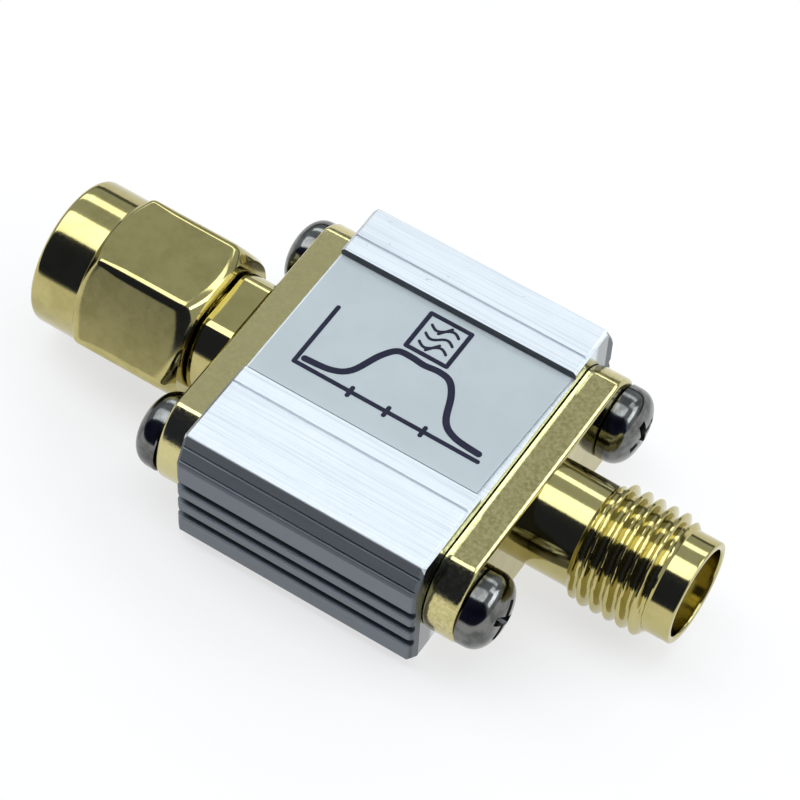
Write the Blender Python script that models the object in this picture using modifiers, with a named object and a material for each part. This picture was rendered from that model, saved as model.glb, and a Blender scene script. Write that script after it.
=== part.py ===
"""Band-pass filter for radio frequencies, in a fluted extruded housing with a coaxial plug and jack.

The housing lies along X with its bottom at z = 0. The plug looks along -X and the jack along +X. Each
connector is drawn in its own frame: local z = 0 is the back of its flange, local +z points outward, and
an empty carries that frame to the end of the housing. Lengths are in metres.
"""

import math

import bmesh
import bpy
from mathutils import Matrix, Vector

MM = 0.001

# Clearances
SEAT_GAP = 0.04 * MM            # between faces that rest on each other
SLEEVE_GAP = 0.04 * MM          # radial, between a sleeve and its bore
RUNNING_GAP = 0.08 * MM         # radial, between the turning nut and the plug
THREAD_GAP = 0.05 * MM          # radial, between a screw and its tapped bore

# Flanges
SCREW_SPACING = 12.7 * MM
FLANGE_END = 1.9 * MM           # from a screw's centre to the end
FLANGE_ROUNDING = 1.875 * MM    # length of each rounded end
FLANGE_HEIGHT = 5.72 * MM
FLANGE_THICKNESS = 1.75 * MM
FLANGE_CHAMFER = 0.18 * MM

# Screws
SCREW_DIAMETER = 2.0 * MM
SCREW_LENGTH = 6.0 * MM
SCREW_HOLE_PLAY = 0.15 * MM     # radial, in the flange
SCREW_HEAD_DIAMETER = 4.0 * MM
SCREW_HEAD_HEIGHT = 1.6 * MM
SCREW_HEAD_RIM = 0.35 * MM
SCREW_HEAD_SQUARENESS = 0.8     # 1 gives an elliptical dome, less a squarer one
SCREW_CHAMFER = 0.25 * MM
CROSS_LENGTH = 2.3 * MM
CROSS_WIDTH = 0.5 * MM
CROSS_DEPTH = 0.9 * MM
CROSS_TAPER = 0.45              # its size at the bottom, as a share of that at the top
SCREW_TURNS = (0.3, 1.1, 0.75, 0.15)    # how far each screw happens to be turned, in radians

# Housing
HOUSING_LENGTH = 13.4 * MM
HOUSING_EDGE = 2.65 * MM        # from a screw's centre to the side
HOUSING_MARGIN = 0.94 * MM      # above and below the flange
HOUSING_CHAMFER = 0.18 * MM     # at its ends
SHOULDER_RUN = 0.8 * MM
SHOULDER_DROP = 1.6 * MM
BASE_CORNER = 0.6 * MM
UPPER_RIB = 1.3 * MM
FLUTE_WIDTH = 0.62 * MM
FLUTE_RIB = 0.56 * MM
FLUTE_DEPTH = 0.3 * MM
FLUTE_DRAFT = 0.1 * MM
LOWER_BAND = 0.6 * MM
SCRIBE_WIDTH = 0.16 * MM
SCRIBE_DEPTH = 0.12 * MM
FRONT_RIDGE = 4.85 * MM
BACK_RIDGE = 3.05 * MM
SCRIBE_OFFSET = 1.05 * MM       # from the label channel
SHOULDER_SCRIBES = (0.38, 0.82)  # shares of the way down the shoulder
CHANNEL_DEPTH = 0.5 * MM
BORE_WALL = 1.05 * MM
BORE_SPARE = 0.5 * MM           # bore left beyond the screw's tip
CAVITY_LAP = 0.55 * MM          # how far the flange covers the end wall above the cavity
BOARD_SLOT = 0.5 * MM

# Label
LABEL_THICKNESS = 0.12 * MM
LABEL_MARGIN = 0.14 * MM
LABEL_SKEW = 0.28 * MM          # its jack end is cut slightly askew

# Inner conductor and insulators
INSULATOR_DIAMETER = 4.1 * MM
INSULATOR_STEP_RISE = 0.35 * MM
STEP_LENGTH = 0.8 * MM
CONDUCTOR_DIAMETER = 1.27 * MM
TAIL_DIAMETER = 0.9 * MM
TAIL_LENGTH = 2.3 * MM
PIN_DIAMETER = 0.91 * MM
PIN_REACH = 2.2 * MM
PIN_POINT = 0.35 * MM
PIN_TIP_DIAMETER = 0.35 * MM
CONTACT_BORE = 0.94 * MM
CONTACT_BORE_DEPTH = 2.6 * MM
CONTACT_SLOT = 0.16 * MM
CONTACT_SLOT_LENGTH = 2.1 * MM

# Jack
JACK_NECK_WALL = 0.635 * MM      # round the insulator's bore
JACK_NECK_LENGTH = 2.75 * MM
THREAD_RISE = 0.45 * MM          # of its crest above the lead
THREAD_DEPTH = 0.4 * MM
THREAD_PITCH = 0.7056 * MM         # 36 turns to the inch
THREAD_CREST = 0.1 * MM          # width of its flat
THREAD_TURNS = 6
JACK_LEAD_WALL = 0.39 * MM       # round the mouth
JACK_LEAD_LENGTH = 1.32 * MM
MATING_GAP = 0.025 * MM          # radial, between a plug's nose and the mouth
JACK_MOUTH_DEPTH = 1.9 * MM
RIM_CHAMFER = 0.12 * MM

# Plug
PLUG_NECK_DIAMETER = 6.5 * MM
PLUG_NECK_LENGTH = 1.67 * MM
PLUG_FLAT_DROP = 0.06 * MM      # from the flange's edge down to a neck flat
PLUG_BARREL_LENGTH = 4.08 * MM
PLUG_NOSE_WALL = 0.195 * MM
PLUG_NOSE_LENGTH = 2.35 * MM
GASKET_OVERHANG = 0.4 * MM       # radial, beyond the barrel
GASKET_THICKNESS = 0.6 * MM
GASKET_ROUND = 0.12 * MM

# Snap ring
RING_THICKNESS = 0.5 * MM
RING_PLAY = 0.05 * MM
RING_FROM_NECK = 1.7 * MM
RING_GROOVE_DEPTH = 0.45 * MM   # in the plug's barrel
RING_GROOVE_WALL = 0.16 * MM    # left under the groove
RING_MOUTH = 1.1 * MM
NUT_GROOVE_DEPTH = 0.32 * MM

# Coupling nut
NUT_FLAT_RISE = 0.1 * MM        # of the flats above the round front
NUT_REACH = 2.52 * MM           # of its rim beyond the plug's face
NUT_FRONT_WALL = 1.05 * MM
NUT_FRONT_LENGTH = 2.65 * MM
NUT_HEX_CHAMFER = 0.62 * MM
NUT_RIM_CHAMFER = 0.3 * MM
NUT_NECK_GAP = 0.1 * MM
NUT_RELIEF_GAP = 0.175 * MM     # radial, round the gasket
NUT_RELIEF_BEFORE = 0.42 * MM   # free length on the gasket's two sides
NUT_RELIEF_AFTER = 0.18 * MM
NUT_THREAD_DEPTH = 0.3 * MM
NUT_ENTRY_CHAMFER = 0.4 * MM

# Circuit board and what it carries
BOARD_THICKNESS = 0.8 * MM
BOARD_END_GAP = 0.15 * MM
BOARD_DROP = 0.05 * MM          # from a tail down to the board
CHIP_LENGTH = 3.0 * MM          # of the filter chip, which is square
CHIP_HEIGHT = 0.95 * MM
SMALL_CHIP_LENGTH = 1.0 * MM
SMALL_CHIP_WIDTH = 0.5 * MM
SMALL_CHIP_HEIGHT = 0.5 * MM
TAIL_GAP = 0.6 * MM             # from a tail's end to the nearest chip
INDUCTOR_OFFSET = 1.4 * MM

# Facets
ROUND_STEPS = 48
SMALL_STEPS = 28
PIN_STEPS = 24
FLANGE_STEPS = 10

# Sizes that follow from those above
FLANGE_LENGTH = SCREW_SPACING + 2 * FLANGE_END
HOUSING_WIDTH = SCREW_SPACING + 2 * HOUSING_EDGE
HOUSING_HEIGHT = FLANGE_HEIGHT + 2 * HOUSING_MARGIN
AXIS_HEIGHT = HOUSING_HEIGHT / 2
TOP_WIDTH = HOUSING_WIDTH - 2 * SHOULDER_RUN
CHANNEL_FRONT = -TOP_WIDTH / 2 + FRONT_RIDGE
CHANNEL_BACK = TOP_WIDTH / 2 - BACK_RIDGE
CAVITY_WIDTH = SCREW_SPACING - SCREW_DIAMETER - 2 * (THREAD_GAP + BORE_WALL)
CAVITY_HEIGHT = FLANGE_HEIGHT - 2 * CAVITY_LAP
BOARD_TOP = AXIS_HEIGHT - TAIL_DIAMETER / 2 - BOARD_DROP
FLANGE_BACK = HOUSING_LENGTH / 2 + SEAT_GAP
SHELL_BORE = INSULATOR_DIAMETER + 2 * SLEEVE_GAP
INSULATOR_STEP = INSULATOR_DIAMETER - 2 * INSULATOR_STEP_RISE
SHELL_STEP_BORE = INSULATOR_STEP + 2 * SLEEVE_GAP
INSULATOR_BORE = CONDUCTOR_DIAMETER + 2 * SLEEVE_GAP
PLUG_BARREL_DIAMETER = SHELL_BORE + 2 * (RING_GROOVE_WALL + RING_GROOVE_DEPTH)
PLUG_NOSE_DIAMETER = SHELL_BORE + 2 * PLUG_NOSE_WALL
GASKET_DIAMETER = PLUG_BARREL_DIAMETER + 2 * GASKET_OVERHANG
JACK_NECK_DIAMETER = SHELL_BORE + 2 * JACK_NECK_WALL
JACK_MOUTH_DIAMETER = PLUG_NOSE_DIAMETER + 2 * MATING_GAP
JACK_LEAD_DIAMETER = JACK_MOUTH_DIAMETER + 2 * JACK_LEAD_WALL
THREAD_DIAMETER = JACK_LEAD_DIAMETER + 2 * THREAD_RISE
JACK_NECK_END = FLANGE_THICKNESS + JACK_NECK_LENGTH
THREAD_END = JACK_NECK_END + THREAD_TURNS * THREAD_PITCH
JACK_LENGTH = THREAD_END + JACK_LEAD_LENGTH
JACK_FACE = JACK_LENGTH - JACK_MOUTH_DEPTH
PLUG_NECK_END = FLANGE_THICKNESS + PLUG_NECK_LENGTH
PLUG_SHOULDER = PLUG_NECK_END + PLUG_BARREL_LENGTH
PLUG_FACE = PLUG_SHOULDER + PLUG_NOSE_LENGTH
RING_START = PLUG_NECK_END + RING_FROM_NECK
NUT_START = PLUG_NECK_END + NUT_NECK_GAP
NUT_LENGTH = PLUG_FACE + NUT_REACH - NUT_START
NUT_HEX_LENGTH = NUT_LENGTH - NUT_FRONT_LENGTH
NUT_LIP_BORE = PLUG_BARREL_DIAMETER + 2 * RUNNING_GAP
NUT_BORE_DIAMETER = THREAD_DIAMETER - 2 * NUT_THREAD_DEPTH
NUT_FRONT_DIAMETER = NUT_BORE_DIAMETER + 2 * NUT_FRONT_WALL
NUT_FLATS = NUT_FRONT_DIAMETER + 2 * NUT_FLAT_RISE
NUT_RELIEF_DIAMETER = GASKET_DIAMETER + 2 * NUT_RELIEF_GAP
GASKET_START = PLUG_SHOULDER + SEAT_GAP


def clear_scene():
    for obj in list(bpy.data.objects):
        bpy.data.objects.remove(obj, do_unlink=True)


def make_material(name, color, roughness, metallic):
    material = bpy.data.materials.new(name)
    material.use_nodes = True
    shader = material.node_tree.nodes["Principled BSDF"]
    shader.inputs["Base Color"].default_value = (*color, 1.0)
    shader.inputs["Roughness"].default_value = roughness
    shader.inputs["Metallic"].default_value = metallic
    material.diffuse_color = (*color, 1.0)
    return material


def new_object(name, mesh):
    obj = bpy.data.objects.new(name, mesh)
    bpy.context.scene.collection.objects.link(obj)
    return obj


def from_bmesh(name, shape):
    bmesh.ops.recalc_face_normals(shape, faces=shape.faces)
    mesh = bpy.data.meshes.new(name)
    shape.to_mesh(mesh)
    shape.free()
    return new_object(name, mesh)


def apply_modifiers(obj):
    """Replaces the object's mesh by what its modifiers make of it."""
    graph = bpy.context.evaluated_depsgraph_get()
    mesh = bpy.data.meshes.new_from_object(obj.evaluated_get(graph))
    obj.modifiers.clear()
    obj.data = mesh


def turned(name, profile, steps, closed=False):
    """Turns (radius, z) points about z: an open profile runs from axis to axis, a closed one makes a ring."""
    count = len(profile)
    edges = [(i, (i + 1) % count) for i in range(count if closed else count - 1)]
    mesh = bpy.data.meshes.new(name)
    mesh.from_pydata([(radius, 0.0, z) for radius, z in profile], edges, [])
    obj = new_object(name, mesh)
    screw = obj.modifiers.new("turn", "SCREW")
    screw.axis = "Z"
    screw.angle = math.tau
    screw.steps = steps
    screw.render_steps = steps
    screw.use_merge_vertices = True
    screw.merge_threshold = 1e-7
    apply_modifiers(obj)
    shape = bmesh.new()
    shape.from_mesh(obj.data)
    bmesh.ops.remove_doubles(shape, verts=shape.verts, dist=1e-7)
    bmesh.ops.recalc_face_normals(shape, faces=shape.faces)
    shape.to_mesh(obj.data)
    shape.free()
    return obj


def rod(name, profile, steps):
    """Turns a solid whose (radius, z) points leave out the two centres."""
    return turned(name, [(0.0, profile[0][1]), *profile, (0.0, profile[-1][1])], steps)


def prism(name, outline, vector):
    """Sweeps a flat outline of 3-D points along a vector."""
    shape = bmesh.new()
    face = shape.faces.new([shape.verts.new(point) for point in outline])
    swept = bmesh.ops.extrude_face_region(shape, geom=[face])
    moved = [item for item in swept["geom"] if isinstance(item, bmesh.types.BMVert)]
    bmesh.ops.translate(shape, verts=moved, vec=Vector(vector))
    return from_bmesh(name, shape)


def box(name, size, centre):
    shape = bmesh.new()
    bmesh.ops.create_cube(shape, size=1.0, matrix=Matrix.Diagonal((*size, 1.0)))
    bmesh.ops.translate(shape, verts=shape.verts, vec=Vector(centre))
    return from_bmesh(name, shape)


def cylinder(name, diameter, start, end, steps, centre=(0.0, 0.0)):
    """A cylinder along z from start to end."""
    shape = bmesh.new()
    bmesh.ops.create_cone(
        shape, cap_ends=True, segments=steps, radius1=diameter / 2, radius2=diameter / 2, depth=end - start
    )
    bmesh.ops.translate(shape, verts=shape.verts, vec=(*centre, (start + end) / 2))
    return from_bmesh(name, shape)


def combine(obj, others, operation):
    """Joins to, cuts from or keeps of the object what the others cover, and uses them up."""
    for other in others:
        modifier = obj.modifiers.new(operation.lower(), "BOOLEAN")
        modifier.operation = operation
        modifier.solver = "EXACT"
        modifier.object = other
    bpy.context.view_layer.update()
    apply_modifiers(obj)
    for other in others:
        bpy.data.objects.remove(other, do_unlink=True)
    return obj


def chamfer(obj, width, angle=math.radians(50)):
    bevel = obj.modifiers.new("chamfer", "BEVEL")
    bevel.width = width
    bevel.segments = 1
    bevel.limit_method = "ANGLE"
    bevel.angle_limit = angle
    apply_modifiers(obj)
    return obj


def finish(obj, name, material, collection, parent=None, location=(0.0, 0.0, 0.0)):
    """Names, colours, shades and places a piece, and moves it to the object's collection."""
    obj.name = name
    obj.data.name = name
    obj.data.materials.clear()
    obj.data.materials.append(material)
    obj.data.shade_smooth()
    obj.data.set_sharp_from_angle(angle=math.radians(30))
    obj.parent = parent
    obj.location = location
    for owner in obj.users_collection:
        owner.objects.unlink(obj)
    collection.objects.link(obj)
    return obj


def arc(centre, radius, start, end, steps):
    """Points of an arc, with its angles in degrees."""
    angles = [math.radians(start + (end - start) * i / steps) for i in range(steps + 1)]
    return [(centre[0] + radius * math.cos(a), centre[1] + radius * math.sin(a)) for a in angles]


def scribe(start, end, share):
    """A fine V groove at a share of the way along the line from start to end, cut into its right side."""
    start, end = Vector(start), Vector(end)
    along = (end - start).normalized()
    inward = Vector((along.y, -along.x))
    middle = start.lerp(end, share)
    return [middle - along * SCRIBE_WIDTH / 2, middle + inward * SCRIBE_DEPTH, middle + along * SCRIBE_WIDTH / 2]


def side_outline():
    """(y, z) points down the +Y side: sloping shoulder, flat rib, flutes and lower band."""
    half = HOUSING_WIDTH / 2
    top = (TOP_WIDTH / 2, HOUSING_HEIGHT)
    shoulder = (half, HOUSING_HEIGHT - SHOULDER_DROP)
    points = [top]
    for share in SHOULDER_SCRIBES:
        points += scribe(top, shoulder, share)
    points.append(shoulder)
    z = shoulder[1] - UPPER_RIB
    while z - FLUTE_WIDTH > BASE_CORNER + LOWER_BAND:
        points += [
            (half, z),
            (half - FLUTE_DEPTH, z - FLUTE_DRAFT),
            (half - FLUTE_DEPTH, z - FLUTE_WIDTH + FLUTE_DRAFT),
            (half, z - FLUTE_WIDTH),
        ]
        z -= FLUTE_WIDTH + FLUTE_RIB
    points += [(half, BASE_CORNER), (half - BASE_CORNER, 0.0)]
    return points


def housing_outline():
    """(y, z) points round the extrusion, clockwise seen from the jack."""
    top = HOUSING_HEIGHT
    back = side_outline()
    front = [(-y, z) for y, z in reversed(back)]
    front_edge = (-TOP_WIDTH / 2, top)
    channel = [
        (CHANNEL_FRONT, top),
        (CHANNEL_FRONT, top - CHANNEL_DEPTH),
        (CHANNEL_BACK, top - CHANNEL_DEPTH),
        (CHANNEL_BACK, top),
    ]
    back_edge = (TOP_WIDTH / 2, top)
    front_scribe = scribe(front_edge, channel[0], 1 - SCRIBE_OFFSET / FRONT_RIDGE)
    back_scribe = scribe(channel[3], back_edge, SCRIBE_OFFSET / BACK_RIDGE)
    return [*front, *front_scribe, *channel, *back_scribe, *back]


def housing_envelope():
    """The bar that the extrusion's grooves are cut into, with its end edges chamfered."""
    side = [
        (TOP_WIDTH / 2, HOUSING_HEIGHT), (HOUSING_WIDTH / 2, HOUSING_HEIGHT - SHOULDER_DROP),
        (HOUSING_WIDTH / 2, BASE_CORNER), (HOUSING_WIDTH / 2 - BASE_CORNER, 0.0),
    ]
    outline = side + [(-y, z) for y, z in reversed(side)]
    bar = prism("envelope", [(-HOUSING_LENGTH / 2, y, z) for y, z in outline], (HOUSING_LENGTH, 0, 0))
    return chamfer(bar, HOUSING_CHAMFER, math.radians(80))


def build_housing(collection, metal):
    length = HOUSING_LENGTH
    body = prism("housing", [(-length / 2, y, z) for y, z in housing_outline()], (length, 0, 0))
    combine(body, [housing_envelope()], "INTERSECT")
    half_width = CAVITY_WIDTH / 2
    slot_width = half_width + BOARD_SLOT
    low, high = AXIS_HEIGHT - CAVITY_HEIGHT / 2, AXIS_HEIGHT + CAVITY_HEIGHT / 2
    slot_top = BOARD_TOP + SLEEVE_GAP
    slot_low = BOARD_TOP - BOARD_THICKNESS - SLEEVE_GAP
    right = [
        (half_width, low), (half_width, slot_low), (slot_width, slot_low),
        (slot_width, slot_top), (half_width, slot_top), (half_width, high),
    ]
    outline = right + [(-y, z) for y, z in reversed(right)]
    cutters = [prism("cavity", [(-length, y, z) for y, z in outline], (2 * length, 0, 0))]
    depth = SCREW_LENGTH - FLANGE_THICKNESS + BORE_SPARE
    for side in (-1, 1):
        for y in (-SCREW_SPACING / 2, SCREW_SPACING / 2):
            bore = cylinder("bore", SCREW_DIAMETER + 2 * THREAD_GAP, length / 2 - depth, length, SMALL_STEPS)
            bore.rotation_euler = (0, side * math.pi / 2, 0)
            bore.location = (0, y, AXIS_HEIGHT)
            cutters.append(bore)
    combine(body, cutters, "DIFFERENCE")
    return finish(body, "housing", metal, collection)


def build_label(collection, vinyl):
    floor = HOUSING_HEIGHT - CHANNEL_DEPTH + SEAT_GAP
    end = HOUSING_LENGTH / 2 - LABEL_MARGIN
    front, back = CHANNEL_FRONT + LABEL_MARGIN, CHANNEL_BACK - LABEL_MARGIN
    outline = [(-end, front), (end - LABEL_SKEW, front), (end, back), (-end, back)]
    label = prism("label", [(x, y, floor) for x, y in outline], (0, 0, LABEL_THICKNESS))
    return finish(label, "label", vinyl, collection)


def flange_plate():
    """The flange: straight above and below, and rounded at both ends."""
    half_height = FLANGE_HEIGHT / 2
    radius = (half_height**2 + FLANGE_ROUNDING**2) / (2 * FLANGE_ROUNDING)
    centre = FLANGE_LENGTH / 2 - radius
    reach = math.degrees(math.asin(half_height / radius))
    end = arc((centre, 0.0), radius, -reach, reach, FLANGE_STEPS)
    outline = end + [(-y, -x) for y, x in end]
    plate = prism("flange", [(x, y, 0.0) for y, x in outline], (0, 0, FLANGE_THICKNESS))
    return chamfer(plate, FLANGE_CHAMFER)


def flange_holes():
    diameter = SCREW_DIAMETER + 2 * SCREW_HOLE_PLAY
    return [
        cylinder("hole", diameter, -FLANGE_THICKNESS, 2 * FLANGE_THICKNESS, SMALL_STEPS, (0.0, y))
        for y in (-SCREW_SPACING / 2, SCREW_SPACING / 2)
    ]


def shell_bore(face, mouth_diameter):
    """The stepped bore for an insulator that ends at z = face, where the mouth starts."""
    step, bore, mouth = SHELL_STEP_BORE / 2, SHELL_BORE / 2, mouth_diameter / 2
    return rod("bore", [
        (step, -FLANGE_THICKNESS), (step, STEP_LENGTH), (bore, STEP_LENGTH), (bore, face),
        (mouth, face), (mouth, 2 * face),
    ], ROUND_STEPS)


def insulator(name, length):
    profile = [
        (INSULATOR_BORE / 2, 0.0), (INSULATOR_BORE / 2, length),
        (INSULATOR_DIAMETER / 2, length), (INSULATOR_DIAMETER / 2, STEP_LENGTH + SEAT_GAP),
        (INSULATOR_STEP / 2, STEP_LENGTH + SEAT_GAP), (INSULATOR_STEP / 2, 0.0),
    ]
    return turned(name, profile, ROUND_STEPS, closed=True)


def thread_turns(start, count, root, crest):
    """(radius, z) points of rings that stand for a thread's turns."""
    points = []
    for i in range(count):
        low = start + i * THREAD_PITCH
        middle = low + THREAD_PITCH / 2
        points += [(root, low), (crest, middle - THREAD_CREST / 2), (crest, middle + THREAD_CREST / 2)]
    points.append((root, start + count * THREAD_PITCH))
    return points


def build_jack(collection, parent, gold, ptfe):
    crest, lead, neck = THREAD_DIAMETER / 2, JACK_LEAD_DIAMETER / 2, JACK_NECK_DIAMETER / 2
    barrel = rod("barrel", [
        (neck, FLANGE_THICKNESS / 2), (neck, JACK_NECK_END),
        *thread_turns(JACK_NECK_END, THREAD_TURNS, crest - THREAD_DEPTH, crest),
        (lead, THREAD_END), (lead, JACK_LENGTH - RIM_CHAMFER), (lead - RIM_CHAMFER, JACK_LENGTH),
    ], ROUND_STEPS)
    shell = combine(flange_plate(), [barrel], "UNION")
    combine(shell, [shell_bore(JACK_FACE, JACK_MOUTH_DIAMETER), *flange_holes()], "DIFFERENCE")
    finish(shell, "jack_shell", gold, collection, parent)
    finish(insulator("insulator", JACK_FACE), "jack_insulator", ptfe, collection, parent)
    build_contact(collection, parent, gold)


def build_contact(collection, parent, gold):
    outer, tail, bore = CONDUCTOR_DIAMETER / 2, TAIL_DIAMETER / 2, CONTACT_BORE / 2
    mouth = JACK_FACE - SEAT_GAP
    contact = turned("contact", [
        (0.0, mouth - CONTACT_BORE_DEPTH - bore), (bore, mouth - CONTACT_BORE_DEPTH), (bore, mouth),
        (outer, mouth), (outer, 0.0), (tail, 0.0), (tail, -TAIL_LENGTH), (0.0, -TAIL_LENGTH),
    ], SMALL_STEPS)
    length = CONTACT_SLOT_LENGTH
    slots = [
        box("slot", (size_x, size_y, 2 * length), (0, 0, mouth))
        for size_x, size_y in ((CONTACT_SLOT, 2 * CONDUCTOR_DIAMETER), (2 * CONDUCTOR_DIAMETER, CONTACT_SLOT))
    ]
    combine(contact, slots, "DIFFERENCE")
    finish(contact, "jack_contact", gold, collection, parent)


def build_plug(collection, parent, gold, ptfe, silicone, steel):
    neck, barrel, nose = PLUG_NECK_DIAMETER / 2, PLUG_BARREL_DIAMETER / 2, PLUG_NOSE_DIAMETER / 2
    groove = barrel - RING_GROOVE_DEPTH
    groove_start, groove_end = RING_START - RING_PLAY, RING_START + RING_THICKNESS + RING_PLAY
    body = rod("barrel", [
        (neck, FLANGE_THICKNESS / 2), (neck, PLUG_NECK_END - RIM_CHAMFER), (neck - RIM_CHAMFER, PLUG_NECK_END),
        (barrel, PLUG_NECK_END), (barrel, groove_start), (groove, groove_start),
        (groove, groove_end), (barrel, groove_end), (barrel, PLUG_SHOULDER),
        (nose, PLUG_SHOULDER), (nose, PLUG_FACE),
    ], ROUND_STEPS)
    flat = FLANGE_HEIGHT / 2 - PLUG_FLAT_DROP
    flats = [
        box("flat", (neck, 3 * neck, 3 * PLUG_NECK_END), (side * (flat + neck / 2), 0, 0))
        for side in (-1, 1)
    ]
    combine(body, flats, "DIFFERENCE")
    shell = combine(flange_plate(), [body], "UNION")
    combine(shell, [shell_bore(PLUG_FACE, SHELL_BORE), *flange_holes()], "DIFFERENCE")
    finish(shell, "plug_shell", gold, collection, parent)
    finish(insulator("insulator", PLUG_FACE - SEAT_GAP), "plug_insulator", ptfe, collection, parent)
    build_pin(collection, parent, gold)
    build_gasket(collection, parent, silicone)
    build_snap_ring(collection, parent, steel)


def build_pin(collection, parent, gold):
    outer, tail, pin = CONDUCTOR_DIAMETER / 2, TAIL_DIAMETER / 2, PIN_DIAMETER / 2
    face = PLUG_FACE - SEAT_GAP
    tip = PLUG_FACE + PIN_REACH
    body = rod("pin", [
        (tail, -TAIL_LENGTH), (tail, 0.0), (outer, 0.0), (outer, face), (pin, face),
        (pin, tip - PIN_POINT), (PIN_TIP_DIAMETER / 2, tip),
    ], PIN_STEPS)
    finish(body, "plug_pin", gold, collection, parent)


def build_gasket(collection, parent, silicone):
    inner, outer = PLUG_NOSE_DIAMETER / 2 + SLEEVE_GAP, GASKET_DIAMETER / 2
    low, high = GASKET_START, GASKET_START + GASKET_THICKNESS
    corner = GASKET_ROUND
    gasket = turned("gasket", [
        (inner, low), (inner, high), (outer - corner, high), (outer, high - corner),
        (outer, low + corner), (outer - corner, low),
    ], ROUND_STEPS, closed=True)
    finish(gasket, "plug_gasket", silicone, collection, parent)


def build_snap_ring(collection, parent, steel):
    """A split ring that lies half in the plug's groove and half in the nut's."""
    inner = PLUG_BARREL_DIAMETER / 2 - RING_GROOVE_DEPTH + SLEEVE_GAP
    outer = NUT_LIP_BORE / 2 + NUT_GROOVE_DEPTH - RUNNING_GAP
    low, high = RING_START, RING_START + RING_THICKNESS
    profile = [(inner, low), (inner, high), (outer, high), (outer, low)]
    ring = turned("ring", profile, ROUND_STEPS, closed=True)
    mouth = box("mouth", (2 * outer, RING_MOUTH, 3 * RING_THICKNESS), (outer + inner / 2, 0, (low + high) / 2))
    combine(ring, [mouth], "DIFFERENCE")
    finish(ring, "snap_ring", steel, collection, parent)


def build_nut(collection, parent, gold):
    """The coupling nut, drawn from its back face along z, with its origin on the axis it turns about."""
    hex_radius = NUT_FLATS / math.sqrt(3)
    front = NUT_FRONT_DIAMETER / 2
    hexagon = cylinder("hexagon", 2 * hex_radius, 0.0, NUT_HEX_LENGTH, 6)
    face = NUT_FLATS / 2 - RIM_CHAMFER
    outside = 2 * hex_radius - face
    turning = rod("turning", [
        (face, 0.0), (outside, 2 * NUT_HEX_CHAMFER), (outside, NUT_HEX_LENGTH - 2 * NUT_HEX_CHAMFER),
        (face, NUT_HEX_LENGTH),
    ], ROUND_STEPS)
    nut = combine(hexagon, [turning], "INTERSECT")
    sleeve = rod("sleeve", [
        (front, NUT_HEX_LENGTH / 2), (front, NUT_LENGTH - NUT_RIM_CHAMFER), (front - NUT_RIM_CHAMFER, NUT_LENGTH),
    ], ROUND_STEPS)
    combine(nut, [sleeve], "UNION")
    lip = NUT_LIP_BORE / 2
    groove = lip + NUT_GROOVE_DEPTH
    groove_start = RING_START - RING_PLAY - NUT_START
    groove_end = groove_start + RING_THICKNESS + 2 * RING_PLAY
    relief, bore = NUT_RELIEF_DIAMETER / 2, NUT_BORE_DIAMETER / 2
    relief_start = GASKET_START - NUT_RELIEF_BEFORE - NUT_START
    relief_end = GASKET_START + GASKET_THICKNESS + NUT_RELIEF_AFTER - NUT_START
    thread_end = NUT_LENGTH - NUT_ENTRY_CHAMFER
    turns = int((thread_end - relief_end) / THREAD_PITCH)
    thread_start = thread_end - turns * THREAD_PITCH
    inside = rod("inside", [
        (lip, -NUT_LENGTH), (lip, groove_start), (groove, groove_start), (groove, groove_end), (lip, groove_end),
        (lip, relief_start), (relief, relief_start), (relief, relief_end), (bore, relief_end),
        *thread_turns(thread_start, turns, bore, bore + NUT_THREAD_DEPTH),
        (bore + 2 * NUT_ENTRY_CHAMFER, NUT_LENGTH + NUT_ENTRY_CHAMFER),
    ], ROUND_STEPS)
    combine(nut, [inside], "DIFFERENCE")
    finish(nut, "coupling_nut", gold, collection, parent, (0, 0, NUT_START))


def cross_recess():
    """Two crossed bars, narrower at the bottom, that cut a screw's recess."""
    bars = []
    for angle in (0, math.pi / 2):
        bar = box("bar", (CROSS_LENGTH, CROSS_WIDTH, 2 * CROSS_DEPTH), (0, 0, SCREW_HEAD_HEIGHT))
        for vertex in bar.data.vertices:
            if vertex.co.z < SCREW_HEAD_HEIGHT:
                vertex.co.x *= CROSS_TAPER
                vertex.co.y *= CROSS_TAPER
        bar.rotation_euler = (0, 0, angle)
        bars.append(bar)
    return bars


def screw_mesh():
    """A pan-head screw: z = 0 under its head, and the shank runs down from there."""
    radius, shank = SCREW_HEAD_DIAMETER / 2, SCREW_DIAMETER / 2
    rise = SCREW_HEAD_HEIGHT - SCREW_HEAD_RIM
    power = SCREW_HEAD_SQUARENESS
    angles = [math.radians(15 * i) for i in range(1, 6)]
    dome = [(radius * math.sin(a)**power, SCREW_HEAD_RIM + rise * math.cos(a)**power) for a in angles]
    dome.append((radius, SCREW_HEAD_RIM))
    screw = turned("screw", [
        (0.0, SCREW_HEAD_HEIGHT), *dome, (radius, 0.0), (shank, 0.0), (shank, -SCREW_LENGTH + SCREW_CHAMFER),
        (shank - SCREW_CHAMFER, -SCREW_LENGTH), (0.0, -SCREW_LENGTH),
    ], SMALL_STEPS)
    return combine(screw, cross_recess(), "DIFFERENCE")


def build_screws(collection, mounts, steel):
    pattern = screw_mesh()
    turns = iter(SCREW_TURNS)
    for end, mount in mounts.items():
        for place, y in (("front", -SCREW_SPACING / 2), ("back", SCREW_SPACING / 2)):
            screw = new_object("screw", pattern.data.copy())
            name = f"screw_{end}_{place}"
            finish(screw, name, steel, collection, mount, (0, y, FLANGE_THICKNESS + SEAT_GAP))
            screw.rotation_euler = (0, 0, next(turns))
    bpy.data.objects.remove(pattern, do_unlink=True)


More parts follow.
